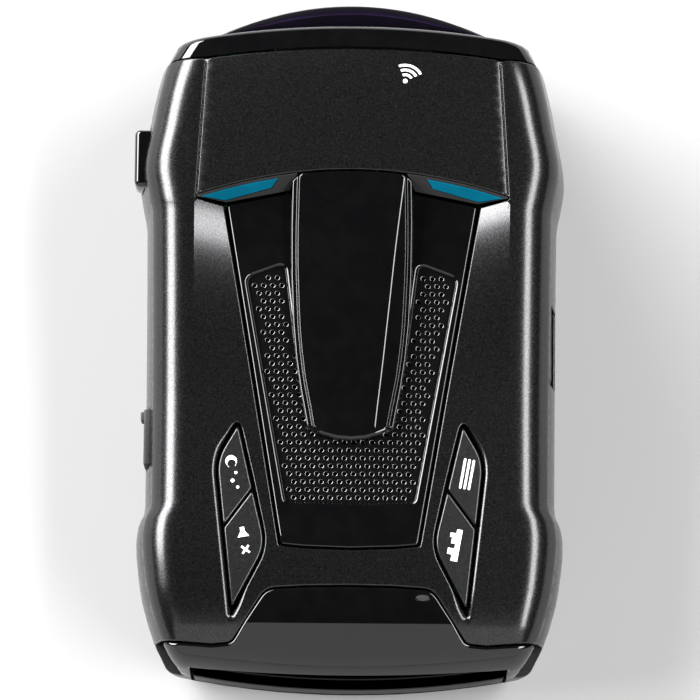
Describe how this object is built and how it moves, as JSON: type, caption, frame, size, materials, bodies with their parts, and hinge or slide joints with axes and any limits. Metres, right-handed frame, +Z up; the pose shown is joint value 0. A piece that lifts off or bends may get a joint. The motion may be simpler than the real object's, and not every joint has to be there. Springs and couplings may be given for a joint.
{
  "type": "radar detector",
  "caption": "Flat dashboard or windscreen radar detector: curved lens nose, speaker grille round a glossy hood, side keys, light bars and a rear display.",
  "frame": {"origin": "middle of the flat underside", "axes": "+Y towards the lens nose that faces the road, +Z up through the keys and grille, +X to the right seen from above with the nose away"},
  "size_m": [0.0718, 0.1147, 0.033],
  "materials": {
    "cover_black": "fine metallic flake paint over plastic",
    "base_black": "fine moulded texture",
    "gloss_black": "piano black",
    "grille_black": "satin, pierced",
    "button_black": "satin flake paint",
    "trim_grey": "dull",
    "light_teal": "tinted translucent",
    "nose_smoke": "dark infra-red pass plastic, polished",
    "smoke_window": "smoked, polished",
    "display_black": "display glass over a dark cell",
    "board_green": "solder mask",
    "chip_black": "moulded",
    "plunger_white": "moulded",
    "clear_lens": "clear polished",
    "cast_zinc": "die cast",
    "can_steel": "tin plated",
    "patch_ceramic": "sintered",
    "magnet_steel": "zinc plated",
    "cone_paper": "pressed pulp",
    "foam_black": "closed cell foam",
    "wire_red": "insulation",
    "wire_black": "insulation",
    "rubber_black": "moulded",
    "latch_acetal": "moulded acetal",
    "spring_steel": "music wire",
    "screw_steel": "black zinc",
    "label_silver": "blank foil label"
  },
  "bodies": {
    "housing": {"top_cover": "cover_black", "bottom_cover": "base_black", "front_bezel": "gloss_black", "front_lens": "nose_smoke", "bracket_guide": "latch_acetal", "latch_spring": "spring_steel", "centre_panel": "gloss_black", "speaker_grille": "grille_black", "left_light_trim": "trim_grey", "right_light_trim": "trim_grey", "left_light_pipe": "light_teal", "right_light_pipe": "light_teal", "rear_sensor_hood": "gloss_black", "rear_bezel": "gloss_black", "display_window": "smoke_window", "display_module": "display_black", "display_board": "board_green", "light_sensor_pipe": "clear_lens", "light_sensor": "chip_black", "dark_switch": "chip_black", "quiet_switch": "chip_black", "menu_switch": "chip_black", "city_switch": "chip_black", "left_key_board": "board_green", "right_key_board": "board_green", "speaker_gasket": "foam_black", "speaker_frame": "can_steel", "speaker_magnet": "magnet_steel", "speaker_wire_1": "wire_black", "speaker_wire_2": "wire_red", "main_board": "board_green", "horn_antenna": "cast_zinc", "rf_board": "board_green", "rf_shield_can": "can_steel", "patch_antenna": "patch_ceramic", "front_laser_sensor": "chip_black", "front_laser_lens": "clear_lens", "rear_laser_sensor": "chip_black", "left_led": "plunger_white", "right_led": "plunger_white", "power_jack": "chip_black", "data_port": "chip_black", "case_screw_1": "screw_steel", "case_screw_2": "screw_steel", "case_screw_3": "screw_steel", "case_screw_4": "screw_steel", "blank_label": "label_silver"},
    "dark_key": {"dark_button": "button_black", "dark_plunger": "plunger_white"},
    "quiet_key": {"quiet_button": "button_black", "quiet_plunger": "plunger_white"},
    "menu_key": {"menu_button": "button_black", "menu_plunger": "plunger_white"},
    "city_key": {"city_button": "button_black", "city_plunger": "plunger_white"},
    "release": {"bracket_release_button": "gloss_black", "latch_bar": "latch_acetal"},
    "port_flap": {"data_port_cover": "rubber_black"},
    "cone": {"speaker_cone": "cone_paper"}
  },
  "joints": [
    {"name": "dark_press", "type": "slide", "parent": "housing", "child": "dark_key", "axis": [0, 0, -1], "range_m": [0, 0.0006], "stiffness_N_per_m": 400},
    {"name": "quiet_press", "type": "slide", "parent": "housing", "child": "quiet_key", "axis": [0, 0, -1], "range_m": [0, 0.0006], "stiffness_N_per_m": 400},
    {"name": "menu_press", "type": "slide", "parent": "housing", "child": "menu_key", "axis": [0, 0, -1], "range_m": [0, 0.0006], "stiffness_N_per_m": 400},
    {"name": "city_press", "type": "slide", "parent": "housing", "child": "city_key", "axis": [0, 0, -1], "range_m": [0, 0.0006], "stiffness_N_per_m": 400},
    {"name": "release_press", "type": "slide", "parent": "housing", "child": "release", "axis": [1, 0, 0], "range_m": [0, 0.0018], "stiffness_N_per_m": 300, "deforming": ["latch_spring"]},
    {"name": "port_flap_hinge", "type": "hinge", "parent": "housing", "child": "port_flap", "pos_m": [-0.0342, -0.0206, 0.0175], "axis": [0, 0, 1], "range_deg": [0, 100], "stiffness_Nm_per_rad": 0.001},
    {"name": "cone_travel", "type": "slide", "parent": "housing", "child": "cone", "axis": [0, 0, 1], "range_m": [-0.0004, 0.0004], "stiffness_N_per_m": 1500}
  ]
}
